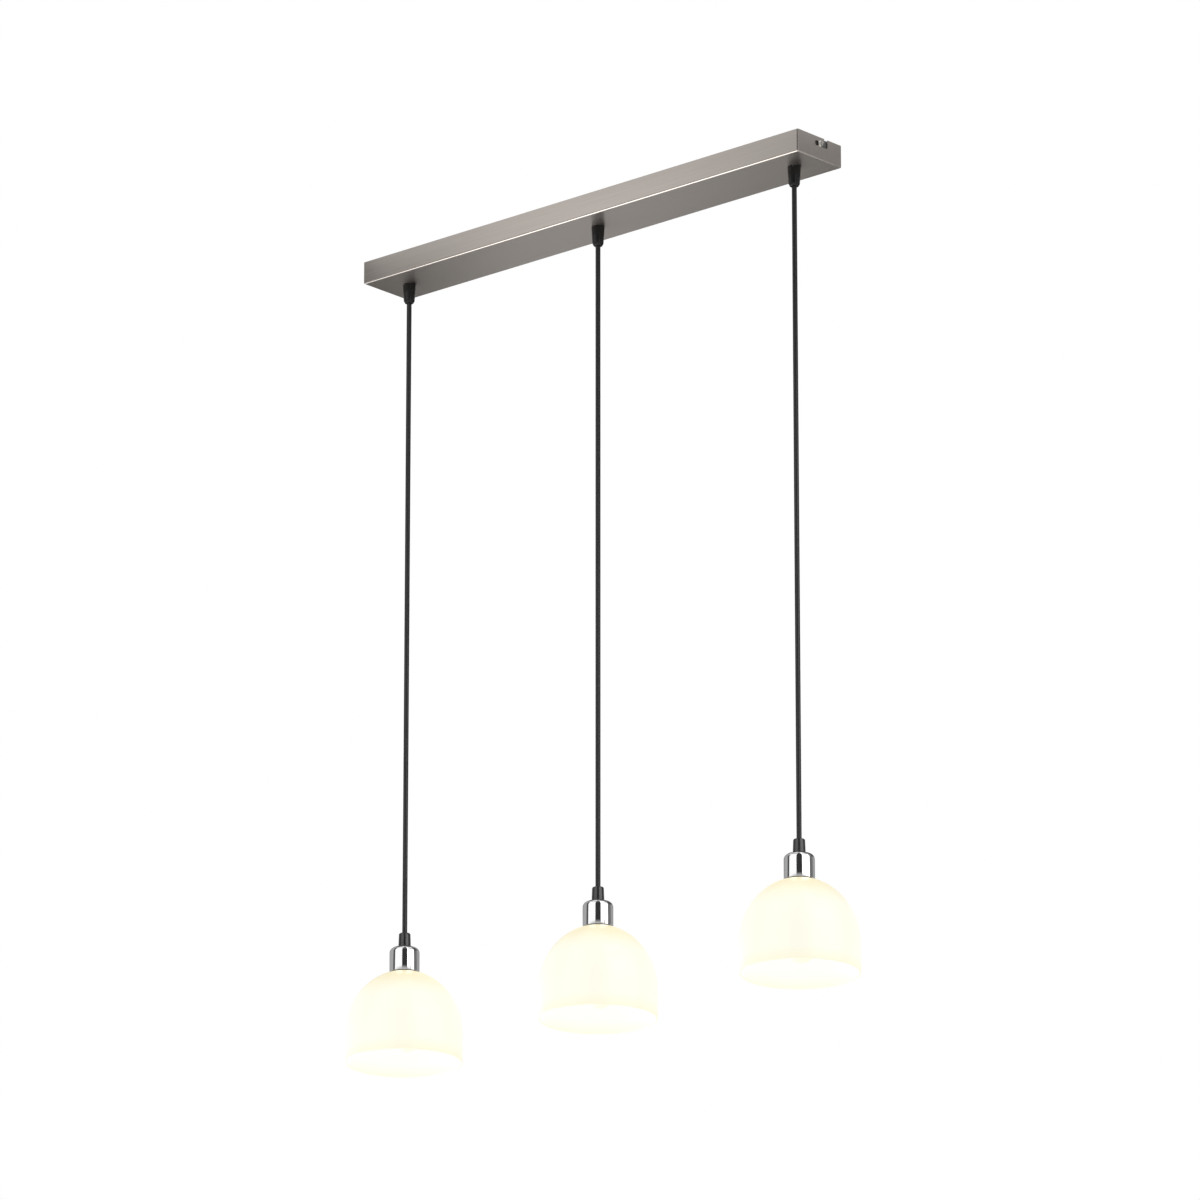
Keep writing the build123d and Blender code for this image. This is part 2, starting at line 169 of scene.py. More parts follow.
# Extruded PVC is smooth and a little waxy, in one even colour or with a stripe.
for wires, (name, first_colour, second_colour) in wire_colours.items():
    wire_pvc, tree, place = start_material(name)
    if wires == "earth_wires":
        # Real two-colour insulation is striped along the wire; slanted bands stand for that here.
        pattern = add_node(
            tree,
            "ShaderNodeTexWave",
            {"Vector": place, "Scale": unit_stripe_width / earth_stripe_width},
            bands_direction="DIAGONAL",
        )
    else:
        pattern = add_node(
            tree,
            "ShaderNodeTexNoise",
            {"Vector": place, "Scale": 1 / wire_cloud_size, "Detail": 1.0},
        )
    wire_tone = add_node(
        tree,
        "ShaderNodeMix",
        {0: pattern.outputs["Fac"], 6: linear(first_colour), 7: linear(second_colour)},
        data_type="RGBA",
    )
    end_material(tree, {"Base Color": wire_tone.outputs[2], "Roughness": 0.35})
    dress(wire_pvc, wires)


# Ceiling box: a long shallow tray folded from sheet steel, satin-nickel plated and brushed along
# its length. Its end walls hook over the bracket's side screws by their bayonet slots.
brush_length = 70 * MM
brush_width = 0.9 * MM
brush_depth = 0.02 * MM
fold_flatness = 0.75
face_flatness = 0.97
fold_gloss_share = 0.55
# Brushed nickel is a warm grey that shows soft light along its lines, and is finely streaked.
satin_nickel, tree, place = start_material("brushed_satin_nickel")
facing = add_node(tree, "ShaderNodeTexCoord", {}).outputs["Normal"]
along_box = add_node(
    tree,
    "ShaderNodeMapping",
    {"Vector": place, "Scale": (1 / brush_length, 1 / brush_width, 1 / brush_width)},
)
up_end_wall = add_node(
    tree,
    "ShaderNodeMapping",
    {"Vector": place, "Scale": (1 / brush_width, 1 / brush_width, 1 / brush_length)},
)
# The real brush lines are under 0.1 mm; they are drawn 0.9 mm wide so that they show in the render.
box_lines = add_node(
    tree, "ShaderNodeTexNoise", {"Vector": along_box.outputs["Vector"], "Scale": 1.0, "Detail": 4.0}
)
end_lines = add_node(
    tree,
    "ShaderNodeTexNoise",
    {"Vector": up_end_wall.outputs["Vector"], "Scale": 1.0, "Detail": 4.0},
)
facing_parts = add_node(tree, "ShaderNodeSeparateXYZ", {"Vector": facing})
end_share = add_node(tree, "ShaderNodeMath", {0: facing_parts.outputs["X"]}, operation="ABSOLUTE")
brush_lines = add_node(
    tree,
    "ShaderNodeMix",
    {0: end_share.outputs["Value"], 2: box_lines.outputs["Fac"], 3: end_lines.outputs["Fac"]},
)
nickel_tone = add_node(
    tree,
    "ShaderNodeMix",
    {0: brush_lines.outputs[0], 6: linear("#B2AAA4"), 7: linear("#C4BDB6")},
    data_type="RGBA",
)
face_gloss = add_node(
    tree, "ShaderNodeMapRange", {"Value": brush_lines.outputs[0], "To Min": 0.265, "To Max": 0.305}
)
# The press tool burnishes the folds, which then shine in a bright line between the duller faces.
facing_squares = add_node(
    tree, "ShaderNodeVectorMath", {0: facing, 1: facing}, operation="MULTIPLY"
)
flatness = add_node(
    tree,
    "ShaderNodeVectorMath",
    {0: facing_squares.outputs["Vector"], 1: facing_squares.outputs["Vector"]},
    operation="DOT_PRODUCT",
)
fold_dulling = add_node(
    tree,
    "ShaderNodeMapRange",
    {
        "Value": flatness.outputs["Value"],
        "From Min": fold_flatness,
        "From Max": face_flatness,
        "To Min": fold_gloss_share,
        "To Max": 1.0,
    },
)
nickel_gloss = add_node(
    tree,
    "ShaderNodeMath",
    {0: face_gloss.outputs["Result"], 1: fold_dulling.outputs["Result"]},
    operation="MULTIPLY",
)
nickel_bump = add_node(
    tree,
    "ShaderNodeBump",
    {"Height": brush_lines.outputs[0], "Strength": 0.25, "Distance": brush_depth},
)
# The lines spread each reflection across themselves and keep its edges along them crisp.
line_direction = add_node(
    tree,
    "ShaderNodeMix",
    {0: end_share.outputs["Value"], 4: (1.0, 0.0, 0.0), 5: (0.0, 0.0, 1.0)},
    data_type="VECTOR",
)
across_lines = add_node(
    tree,
    "ShaderNodeVectorMath",
    {0: facing, 1: line_direction.outputs[1]},
    operation="CROSS_PRODUCT",
)
end_material(
    tree,
    {
        "Base Color": nickel_tone.outputs[2],
        "Metallic": 1.0,
        "Roughness": nickel_gloss.outputs["Value"],
        "Anisotropic": 0.7,
        "Tangent": across_lines.outputs["Vector"],
        "Normal": nickel_bump.outputs["Normal"],
    },
)
dress(satin_nickel, "ceiling_box")


# Side screws: turned steel with a slotted cheese head, bright-nickel plated. One in each end wall
# holds the box on the bracket's tab.
# Bright nickel is a warm mirror, dulled in spots by handling.
handling_mark_size = 2 * MM
bright_nickel, tree, place = start_material("bright_nickel_plated_steel")
handling_marks = add_node(
    tree, "ShaderNodeTexNoise", {"Vector": place, "Scale": 1 / handling_mark_size, "Detail": 2.0}
)
mark_gloss = add_node(
    tree,
    "ShaderNodeMapRange",
    {"Value": handling_marks.outputs["Fac"], "To Min": 0.12, "To Max": 0.26},
)
end_material(
    tree,
    {"Base Color": linear("#DDDAD4"), "Metallic": 1.0, "Roughness": mark_gloss.outputs["Result"]},
)
dress(bright_nickel, "side_screws")
dress(zinc_plate, "gland_nuts")


# Ceiling glands: tapered strain reliefs moulded in black polyamide. A threaded stem goes up through
# the box floor into a lock nut, and the bevelled end has a flared mouth for the cord.
pendants = ("left", "middle", "right")
gland_shoulder_radius = 6.7 * MM
gland_end_radius = 5.1 * MM
gland_bevel_height = 3 * MM
gland_stem_radius = 5 * MM
gland_bore_radius = 3.3 * MM
gland_mouth_radius = 3.9 * MM
gland_edge_round = 0.5 * MM
weld_distance = 0.001 * MM
ring_reach = 0.05 * MM
crease_angle = radians(32)
flow_mark_size = 8 * MM
flow_mark_depth = 0.05 * MM


def spun(outline, axis_x, steps=96):
    """Closed shape spun about an upright axis from its outline's corners, in radius and level."""
    shape = bmesh.new()
    corners = [shape.verts.new((axis_x + radius, 0, level)) for radius, level in outline]
    sides = [shape.edges.new((corner, corners[i - 1])) for i, corner in enumerate(corners)]
    bmesh.ops.spin(
        shape,
        geom=corners + sides,
        cent=(axis_x, 0, 0),
        axis=(0, 0, 1),
        angle=tau,
        steps=steps,
        use_merge=True,
    )
    bmesh.ops.remove_doubles(shape, verts=shape.verts, dist=weld_distance)
    bmesh.ops.recalc_face_normals(shape, faces=shape.faces)
    return shape


def round_ring(shape, axis_x, radius, level, amount, segments):
    """Rounds the edge that runs round a spun shape at one radius and level."""
    ring = [
        edge
        for edge in shape.edges
        if all(
            abs(Vector((v.co.x - axis_x, v.co.y)).length - radius) < ring_reach
            and abs(v.co.z - level) < ring_reach
            for v in edge.verts
        )
    ]
    bmesh.ops.bevel(
        shape,
        geom=ring,
        offset=amount,
        offset_type="OFFSET",
        segments=segments,
        profile=0.5,
        affect="EDGES",
        material=-1,
    )


def add_piece(name, shape, material, body, slot, *stands_for):
    """Piece made from a shape, smooth but for sharp edges, that stands for CAD nodes on a body."""
    mesh = bpy.data.meshes.new(name)
    shape.to_mesh(mesh)
    shape.free()
    mesh.shade_smooth()
    mesh.set_sharp_from_angle(angle=crease_angle)
    mesh.materials.append(material)
    piece = bpy.data.objects.new(name, mesh)
    scene.collection.objects.link(piece)
    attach(piece, body)
    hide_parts(*stands_for)


# Polyamide from a polished mould is glossy, with a faint unevenness that breaks up its highlights.
def black_polyamide(name, dark, light, shine):
    """Moulded black polyamide between two tones, with a shine that is 0.5 on bare plastic."""
    material, tree, place = start_material(name)
    flow_marks = add_node(
        tree, "ShaderNodeTexNoise", {"Vector": place, "Scale": 1 / flow_mark_size, "Detail": 1.0}
    )
    tone = add_node(
        tree,
        "ShaderNodeMix",
        {0: flow_marks.outputs["Fac"], 6: linear(dark), 7: linear(light)},
        data_type="RGBA",
    )
    gloss = add_node(
        tree,
        "ShaderNodeMapRange",
        {"Value": flow_marks.outputs["Fac"], "To Min": 0.2, "To Max": 0.32},
    )
    bump = add_node(
        tree,
        "ShaderNodeBump",
        {"Height": flow_marks.outputs["Fac"], "Strength": 0.15, "Distance": flow_mark_depth},
    )
    end_material(
        tree,
        {
            "Base Color": tone.outputs[2],
            "Roughness": gloss.outputs["Result"],
            "Specular IOR Level": shine,
            "Normal": bump.outputs["Normal"],
        },
    )
    return material


# The glands get a darker, duller copy of the polyamide: painted shade.
gland_polyamide = black_polyamide("shaded_black_polyamide", "#121212", "#1C1C1C", 0.4)

box_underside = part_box("ceiling_box")[0].z
for pendant in pendants:
    low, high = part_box("ceiling_gland_" + pendant)
    axis_x = (low.x + high.x) / 2
    base_radius = (high.x - low.x) / 2
    shoulder = low.z + gland_bevel_height
    gland = spun(
        [
            (gland_bore_radius, high.z),
            (gland_stem_radius, high.z),
            (gland_stem_radius, box_underside),
            (base_radius, box_underside),
            (gland_shoulder_radius, shoulder),
            (gland_end_radius, low.z),
            (gland_mouth_radius, low.z),
            (gland_bore_radius, shoulder),
        ],
        axis_x,
    )
    round_ring(gland, axis_x, base_radius, box_underside, gland_edge_round, segments=3)
    round_ring(gland, axis_x, gland_shoulder_radius, shoulder, gland_edge_round, segments=3)
    round_ring(gland, axis_x, gland_end_radius, low.z, gland_edge_round, segments=3)
    add_piece(
        "moulded_gland_" + pendant,
        gland,
        gland_polyamide,
        "ceiling",
        "black_gland",
        "ceiling_gland_" + pendant,
    )


# Cords: round three-core flex in a charcoal PVC sheath. Each hangs straight from its gland's mouth,
# drawn taut by the shade, and goes through the grip into the lampholder.
cord_diameter = 6 * MM
cord_steady = 6 * cord_diameter
# The cord starts a little inside the gland's flared mouth, which hides its end when it swings.
cord_entry = 1.4 * MM
die_line_width = 2 * MM
die_line_length = 400 * MM
# The sheath is near black with a soft shine down each side. Extrusion leaves faint lines along it,
# which are drawn 2 mm wide so that they show.
charcoal_pvc, tree, place = start_material("extruded_charcoal_pvc")
drawn_out = add_node(
    tree,
    "ShaderNodeMapping",
    {"Vector": place, "Scale": (1 / die_line_width, 1 / die_line_width, 1 / die_line_length)},
)
die_lines = add_node(
    tree, "ShaderNodeTexNoise", {"Vector": drawn_out.outputs["Vector"], "Scale": 1.0, "Detail": 1.0}
)
sheath_tone = add_node(
    tree,
    "ShaderNodeMix",
    {0: die_lines.outputs["Fac"], 6: linear("#212122"), 7: linear("#2A2A2B")},
    data_type="RGBA",
)
sheath_gloss = add_node(
    tree, "ShaderNodeMapRange", {"Value": die_lines.outputs["Fac"], "To Min": 0.28, "To Max": 0.33}
)
end_material(
    tree, {"Base Color": sheath_tone.outputs[2], "Roughness": sheath_gloss.outputs["Result"]}
)
for pendant in pendants:
    dress(charcoal_pvc, "cord_tail_" + pendant)
    low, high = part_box("cord_" + pendant)
    axis_x = (low.x + high.x) / 2
    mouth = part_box("ceiling_gland_" + pendant)[0].z
    cord_levels = (mouth + cord_entry, mouth - cord_steady, low.z + cord_steady, low.z)
    line = bpy.data.curves.new("hanging_cord_" + pendant, "CURVE")
    line.dimensions = "3D"
    route = line.splines.new("NURBS")
    route.points.add(len(cord_levels) - 1)
    for point, level in zip(route.points, cord_levels):
        point.co = (axis_x, 0, level, 1)
    route.order_u = 3
    route.use_endpoint_u = True
    line.bevel_depth = cord_diameter / 2
    line.bevel_resolution = 10
    line.use_fill_caps = True
    line.materials.append(charcoal_pvc)
    cord = bpy.data.objects.new("hanging_cord_" + pendant, line)
    scene.collection.objects.link(cord)
    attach(cord, "pendant_" + pendant)
    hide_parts("cord_" + pendant)


# Lamp grips: black polyamide nuts with a rounded top that clamp the cord over each socket cup. A
# threaded stem goes through the cup into the lampholder's cap.
grip_end_radius = 6.85 * MM
grip_end_round = 1.6 * MM
grip_foot_round = 0.4 * MM
# The grips get a lighter, shinier copy of the polyamide: painted light, for brighter streaks.
grip_polyamide = black_polyamide("lit_black_polyamide", "#181818", "#242424", 1.0)
for pendant in pendants:
    low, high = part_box("lamp_grip_" + pendant)
    axis_x = (low.x + high.x) / 2
    grip_base_radius = (high.x - low.x) / 2
    cup_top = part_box("socket_cup_" + pendant)[1].z
    grip = spun(
        [
            (gland_bore_radius, low.z),
            (gland_stem_radius, low.z),
            (gland_stem_radius, cup_top),
            (grip_base_radius, cup_top),
            (grip_end_radius, high.z),
            (gland_bore_radius, high.z),
        ],
        axis_x,
    )
    round_ring(grip, axis_x, grip_end_radius, high.z, grip_end_round, segments=6)
    round_ring(grip, axis_x, grip_base_radius, cup_top, grip_foot_round, segments=3)
    add_piece(
        "moulded_grip_" + pendant,
        grip,
        grip_polyamide,
        "pendant_" + pendant,
        "black_gland",
        "lamp_grip_" + pendant,
    )


# Socket cups: drawn from thin brass sheet with a rounded shoulder, polished and chrome-plated. Each
# is held between the grip and the lampholder, and its foot stands on a gasket on the glass.
cup_wall = 0.8 * MM
cup_shoulder = 6.5 * MM
cup_hole_radius = 5.15 * MM
cup_foot_round = 0.3 * MM
cup_spin_steps = 128
wiped_mark_size = 7 * MM
# Chrome is a cold mirror with crisp bands of light and dark, a little softer where it was wiped.
polished_chrome, tree, place = start_material("polished_chrome_plate")
wiped_marks = add_node(
    tree, "ShaderNodeTexNoise", {"Vector": place, "Scale": 1 / wiped_mark_size, "Detail": 3.0}
)
chrome_gloss = add_node(
    tree,
    "ShaderNodeMapRange",
    {"Value": wiped_marks.outputs["Fac"], "To Min": 0.03, "To Max": 0.09},
)
end_material(
    tree,
    {"Base Color": linear("#F1F1F2"), "Metallic": 1.0, "Roughness": chrome_gloss.outputs["Result"]},
)
for pendant in pendants:
    low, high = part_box("socket_cup_" + pendant)
    axis_x = (low.x + high.x) / 2
    cup_radius = (high.x - low.x) / 2
    cup = spun(
        [
            (cup_hole_radius, high.z),
            (cup_radius, high.z),
            (cup_radius, low.z),
            (cup_radius - cup_wall, low.z),
            (cup_radius - cup_wall, high.z - cup_wall),
            (cup_hole_radius, high.z - cup_wall),
        ],
        axis_x,
        steps=cup_spin_steps,
    )
    round_ring(cup, axis_x, cup_radius, high.z, cup_shoulder, segments=14)
    round_ring(
        cup, axis_x, cup_radius - cup_wall, high.z - cup_wall, cup_shoulder - cup_wall, segments=10
    )
    round_ring(cup, axis_x, cup_radius, low.z, cup_foot_round, segments=3)
    add_piece(
        "drawn_cup_" + pendant,
        cup,
        polished_chrome,
        "pendant_" + pendant,
        "polished_chrome",
        "socket_cup_" + pendant,
    )


# Cup gaskets: flat rings punched from black rubber sheet. Each lies on the glass under its cup's
# foot and is squeezed when the shade ring is screwed up.
# Rubber is matt and nearly black, with a grey bloom in patches.
rubber_bloom_size = 3 * MM
black_rubber, tree, place = start_material("punched_black_rubber")
rubber_bloom = add_node(
    tree, "ShaderNodeTexNoise", {"Vector": place, "Scale": 1 / rubber_bloom_size, "Detail": 3.0}
)
rubber_tone = add_node(
    tree,
    "ShaderNodeMix",
    {0: rubber_bloom.outputs["Fac"], 6: linear("#0E0E0E"), 7: linear("#1E1E1D")},
    data_type="RGBA",
)
end_material(tree, {"Base Color": rubber_tone.outputs[2], "Roughness": 0.7})
for pendant in pendants:
    dress(black_rubber, "cup_gasket_" + pendant)


# Lampholders: a cap and a threaded shell moulded in black phenolic resin, closed over a glazed
# steatite core that carries the stamped brass contacts.
# Phenolic resin is a brownish black with a dull shine, flecked by its wood filler.
filler_speck_size = 0.8 * MM
phenolic, tree, place = start_material("moulded_black_phenolic")
filler_specks = add_node(
    tree, "ShaderNodeTexNoise", {"Vector": place, "Scale": 1 / filler_speck_size, "Detail": 3.0}
)
phenolic_tone = add_node(
    tree,
    "ShaderNodeMix",
    {0: filler_specks.outputs["Fac"], 6: linear("#1E1D1C"), 7: linear("#34312E")},
    data_type="RGBA",
)
end_material(tree, {"Base Color": phenolic_tone.outputs[2], "Roughness": 0.38})

# Glazed steatite is creamy white and glossy, slightly darker where the glaze pools.
glaze_pool_size = 5 * MM
steatite, tree, place = start_material("glazed_steatite")
glaze_pools = add_node(
    tree, "ShaderNodeTexNoise", {"Vector": place, "Scale": 1 / glaze_pool_size, "Detail": 2.0}
)
glaze_tone = add_node(
    tree,
    "ShaderNodeMix",
    {0: glaze_pools.outputs["Fac"], 6: linear("#E2DED3"), 7: linear("#F0EDE6")},
    data_type="RGBA",
)
end_material(tree, {"Base Color": glaze_tone.outputs[2], "Roughness": 0.22})

# Stamped brass is yellow and bright, with patches of brown tarnish.
tarnish_size = 4 * MM
stamped_brass, tree, place = start_material("stamped_brass")
tarnish = add_node(
    tree, "ShaderNodeTexNoise", {"Vector": place, "Scale": 1 / tarnish_size, "Detail": 3.0}
)
brass_tone = add_node(
    tree,
    "ShaderNodeMix",
    {0: tarnish.outputs["Fac"], 6: linear("#C9A24E"), 7: linear("#E3C678")},
    data_type="RGBA",
)
end_material(tree, {"Base Color": brass_tone.outputs[2], "Metallic": 1.0, "Roughness": 0.3})

for pendant in pendants:
    dress(phenolic, "holder_cap_" + pendant)
    dress(steatite, "holder_core_" + pendant)
    dress(stamped_brass, "lamp_contacts_" + pendant)

# The shells carry a coarse moulded thread from end to end, on which the shade rings run.
thread_pitch = 2 * MM
thread_depth = 0.6 * MM
thread_steps = 64
thread_weld = 0.01 * MM
turns_below = 2
shell_bore_radius = 10.6 * MM
shell_spigot_radius = 12.05 * MM
shell_spigot_height = 5 * MM
shell_mouth_radius = 7.25 * MM
shell_mouth_wall = 2.5 * MM
for pendant in pendants:
    low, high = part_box("holder_shell_" + pendant)
    axis_x = (low.x + high.x) / 2
    crest_radius = (high.x - low.x) / 2
    root_radius = crest_radius - thread_depth
    # The thread starts low, ends high and is cut level. Its teeth have flat roots and crests.
    tooth = ((0.0, root_radius), (0.25, root_radius), (0.5, crest_radius), (0.75, crest_radius))
    thread_end = high.z - shell_spigot_height
    turns = round((thread_end - low.z) / thread_pitch) + 1
    shell = bmesh.new()
    corners = [
        shell.verts.new((axis_x + radius, 0, low.z + (turn + share) * thread_pitch))
        for turn in range(-turns_below, turns)
        for share, radius in tooth
    ]
    flanks = [shell.edges.new(pair) for pair in zip(corners, corners[1:])]
    bmesh.ops.spin(
        shell,
        geom=corners + flanks,
        cent=(axis_x, 0, 0),
        axis=(0, 0, 1),
        dvec=(0, 0, thread_pitch / thread_steps),
        angle=tau,
        steps=thread_steps,
    )
    bmesh.ops.remove_doubles(shell, verts=shell.verts, dist=thread_weld)
    cut_rings = []
    for level, outwards in ((low.z, -1), (thread_end, 1)):
        cut = bmesh.ops.bisect_plane(
            shell,
            geom=shell.verts[:] + shell.edges[:] + shell.faces[:],
            plane_co=(axis_x, 0, level),
            plane_no=(0, 0, outwards),
            clear_outer=True,
        )["geom_cut"]
        cut_rings.append([part for part in cut if isinstance(part, bmesh.types.BMEdge)])
    foot_ring, end_ring = cut_rings
    # From the cut foot the wall goes in to the mouth, up the bore and round the spigot.
    wall_ring = foot_ring
    for radius, level in (
        (shell_mouth_radius, low.z),
        (shell_mouth_radius, low.z + shell_mouth_wall),
        (shell_bore_radius, low.z + shell_mouth_wall),
        (shell_bore_radius, high.z),
        (shell_spigot_radius, high.z),
        (shell_spigot_radius, thread_end),
    ):
        wall = bmesh.ops.extrude_edge_only(shell, edges=wall_ring)["geom"]
        for corner in wall:
            if isinstance(corner, bmesh.types.BMVert):
                spoke = Vector((corner.co.x - axis_x, corner.co.y)).normalized() * radius
                corner.co = (axis_x + spoke.x, spoke.y, level)
        wall_ring = [
            part for part in wall if isinstance(part, bmesh.types.BMEdge) and part.is_boundary
        ]
    bmesh.ops.bridge_loops(shell, edges=wall_ring + end_ring)
    bmesh.ops.remove_doubles(shell, verts=shell.verts, dist=weld_distance)
    bmesh.ops.recalc_face_normals(shell, faces=shell.faces)
    add_piece(
        "threaded_shell_" + pendant,
        shell,
        phenolic,
        "pendant_" + pendant,
        "holder_plastic",
        "holder_shell_" + pendant,
    )


# Glass shades: mouth-blown opal glass, a tall dome on a straight skirt with a fire-polished rim.
# The neck is ground flat, and the whole wall has a painted glow that stands for the lamp inside.
glass_wall = 3 * MM
glass_skirt = 36 * MM
glass_rise = 77 * MM
glass_hole_radius = 14.25 * MM
glass_rim_round = 1.35 * MM
glass_seat_round = 1.2 * MM
neck_glow_height = 45 * MM
rim_glow_height = 20 * MM
rim_glow_share = 0.55
glow_cloud_size = 30 * MM
glow_cloud_share = 0.12
opal_glass, tree, place = start_material("blown_opal_glass")
glass_place = add_node(tree, "ShaderNodeSeparateXYZ", {"Vector": place})
shade_low, shade_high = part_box("glass_shade_middle")
# The painted glow is brightest level with the lamp. It is painted darker and warmer at the neck, as
# shade from the lampholder, and a little warmer at the rim, which is seen through its own
# thickness.
neck_band = add_node(
    tree,
    "ShaderNodeMapRange",
    {
        "Value": glass_place.outputs["Z"],
        "From Min": shade_high.z,
        "From Max": shade_high.z - neck_glow_height,
    },
    interpolation_type="SMOOTHSTEP",
)
rim_band = add_node(
    tree,
    "ShaderNodeMapRange",
    {
        "Value": glass_place.outputs["Z"],
        "From Min": shade_low.z,
        "From Max": shade_low.z + rim_glow_height,
        "To Min": rim_glow_share,
    },
    interpolation_type="SMOOTHSTEP",
)
glow_band = add_node(
    tree,
    "ShaderNodeMath",
    {0: neck_band.outputs["Result"], 1: rim_band.outputs["Result"]},
    operation="MULTIPLY",
)
# Random clouds make the painted glow a little uneven.
glow_cloud = add_node(
    tree, "ShaderNodeTexNoise", {"Vector": place, "Scale": 1 / glow_cloud_size, "Detail": 1.0}
)
glow_share = add_node(
    tree,
    "ShaderNodeMath",
    {0: glow_cloud.outputs["Fac"], 1: glow_cloud_share, 2: glow_band.outputs["Value"]},
    operation="MULTIPLY_ADD",
    use_clamp=True,
)
glow_tone = add_node(
    tree,
    "ShaderNodeMix",
    {0: glow_share.outputs["Value"], 6: linear("#FFF2CA"), 7: linear("#FEFFF6")},
    data_type="RGBA",
)
end_material(
    tree,
    {
        "Base Color": linear("#CCC6A8"),
        "Roughness": 0.3,
        "Emission Color": glow_tone.outputs[2],
        "Emission Strength": 0.72,
    },
)
for pendant in pendants:
    low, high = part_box("glass_shade_" + pendant)
    axis_x = (low.x + high.x) / 2
    glass_radius = (high.x - low.x) / 2
    dome_foot = low.z + glass_skirt
    middle = Vector((axis_x, 0, dome_foot))
    shade = bmesh.new()
    bmesh.ops.create_uvsphere(shade, u_segments=128, v_segments=64, radius=glass_radius)
    bmesh.ops.scale(shade, vec=(1, 1, glass_rise / glass_radius), verts=shade.verts)
    bmesh.ops.translate(shade, vec=middle, verts=shade.verts)
    whole = shade.verts[:] + shade.edges[:] + shade.faces[:]
    bmesh.ops.bisect_plane(
        shade, geom=whole, plane_co=middle, plane_no=(0, 0, -1), clear_outer=True
    )
    whole = shade.verts[:] + shade.edges[:] + shade.faces[:]
    neck = bmesh.ops.bisect_plane(
        shade, geom=whole, plane_co=(axis_x, 0, high.z), plane_no=(0, 0, 1), clear_outer=True
    )["geom_cut"]
    neck_edges = [part for part in neck if isinstance(part, bmesh.types.BMEdge)]
    neck_radius = max(
        Vector((v.co.x - axis_x, v.co.y)).length for edge in neck_edges for v in edge.verts
    )
    foot_edges = [edge for edge in shade.edges if edge.is_boundary and edge not in neck_edges]
    skirt = bmesh.ops.extrude_edge_only(shade, edges=foot_edges)["geom"]
    skirt_corners = [part for part in skirt if isinstance(part, bmesh.types.BMVert)]
    bmesh.ops.translate(shade, vec=(0, 0, -glass_skirt), verts=skirt_corners)
    seat = bmesh.ops.extrude_edge_only(shade, edges=neck_edges)["geom"]
    seat_corners = [part for part in seat if isinstance(part, bmesh.types.BMVert)]
    inward = glass_hole_radius / neck_radius
    bmesh.ops.scale(
        shade,
        vec=(inward, inward, 1),
        verts=seat_corners,
        space=Matrix.Translation((-axis_x, 0, 0)),
    )
    bmesh.ops.remove_doubles(shade, verts=shade.verts, dist=weld_distance)
    bmesh.ops.recalc_face_normals(shade, faces=shade.faces)
    bmesh.ops.solidify(shade, geom=shade.faces[:], thickness=glass_wall)
    round_ring(shade, axis_x, neck_radius, high.z, glass_seat_round, segments=4)
    round_ring(shade, axis_x, glass_radius, low.z, glass_rim_round, segments=4)
    round_ring(shade, axis_x, glass_radius - glass_wall, low.z, glass_rim_round, segments=4)
    add_piece(
        "blown_shade_" + pendant,
        shade,
        opal_glass,
        "pendant_" + pendant,
        "opal_glass",
        "glass_shade_" + pendant,
    )


# Shade rings: notched rings moulded in black phenolic resin, screwed up the lampholder by hand
# until they clamp the glass against the socket cup.
for pendant in pendants:
    dress(phenolic, "shade_ring_" + pendant)


# Lamps: golf-ball lamps with an opal polycarbonate globe, a white collar, and a nickel-plated
# screw cap that ends in a black insulator and a tinned tip.
# Opal polycarbonate hides the light source and glows evenly, a little whiter in places.
globe_cloud_size = 15 * MM
opal_globe, tree, place = start_material("moulded_opal_polycarbonate")
globe_cloud = add_node(
    tree, "ShaderNodeTexNoise", {"Vector": place, "Scale": 1 / globe_cloud_size, "Detail": 1.0}
)
globe_tone = add_node(
    tree,
    "ShaderNodeMix",
    {0: globe_cloud.outputs["Fac"], 6: linear("#FBFFDC"), 7: linear("#FDFFE6")},
    data_type="RGBA",
)
end_material(
    tree,
    {
        "Base Color": linear("#BDB9AC"),
        "Roughness": 0.45,
        "Emission Color": globe_tone.outputs[2],
        "Emission Strength": 0.74,
    },
)

# Filled polyester is a matt, slightly grainy white.
collar_grain_size = 1 * MM
white_collar, tree, place = start_material("moulded_white_polyester")
collar_grain = add_node(
    tree, "ShaderNodeTexNoise", {"Vector": place, "Scale": 1 / collar_grain_size, "Detail": 2.0}
)
collar_tone = add_node(
    tree,
    "ShaderNodeMix",
    {0: collar_grain.outputs["Fac"], 6: linear("#ECEAE4"), 7: linear("#F6F5F1")},
    data_type="RGBA",
)
end_material(tree, {"Base Color": collar_tone.outputs[2], "Roughness": 0.4})

# Black glass is shiny and pitted, with a purple tinge.
glass_pit_size = 1 * MM
black_glass, tree, place = start_material("vitrified_black_glass")
glass_pits = add_node(
    tree, "ShaderNodeTexNoise", {"Vector": place, "Scale": 1 / glass_pit_size, "Detail": 2.0}
)
pit_gloss = add_node(
    tree, "ShaderNodeMapRange", {"Value": glass_pits.outputs["Fac"], "To Min": 0.1, "To Max": 0.3}
)
end_material(tree, {"Base Color": linear("#151417"), "Roughness": pit_gloss.outputs["Result"]})

# Solder sets in a grey blob, bright where it flowed last.
solder_flow_size = 1.5 * MM
tinned_tip, tree, place = start_material("tinned_contact")
solder_flow = add_node(
    tree, "ShaderNodeTexNoise", {"Vector": place, "Scale": 1 / solder_flow_size, "Detail": 2.0}
)
solder_gloss = add_node(
    tree, "ShaderNodeMapRange", {"Value": solder_flow.outputs["Fac"], "To Min": 0.25, "To Max": 0.5}
)
end_material(
    tree,
    {"Base Color": linear("#C4C5C6"), "Metallic": 1.0, "Roughness": solder_gloss.outputs["Result"]},
)

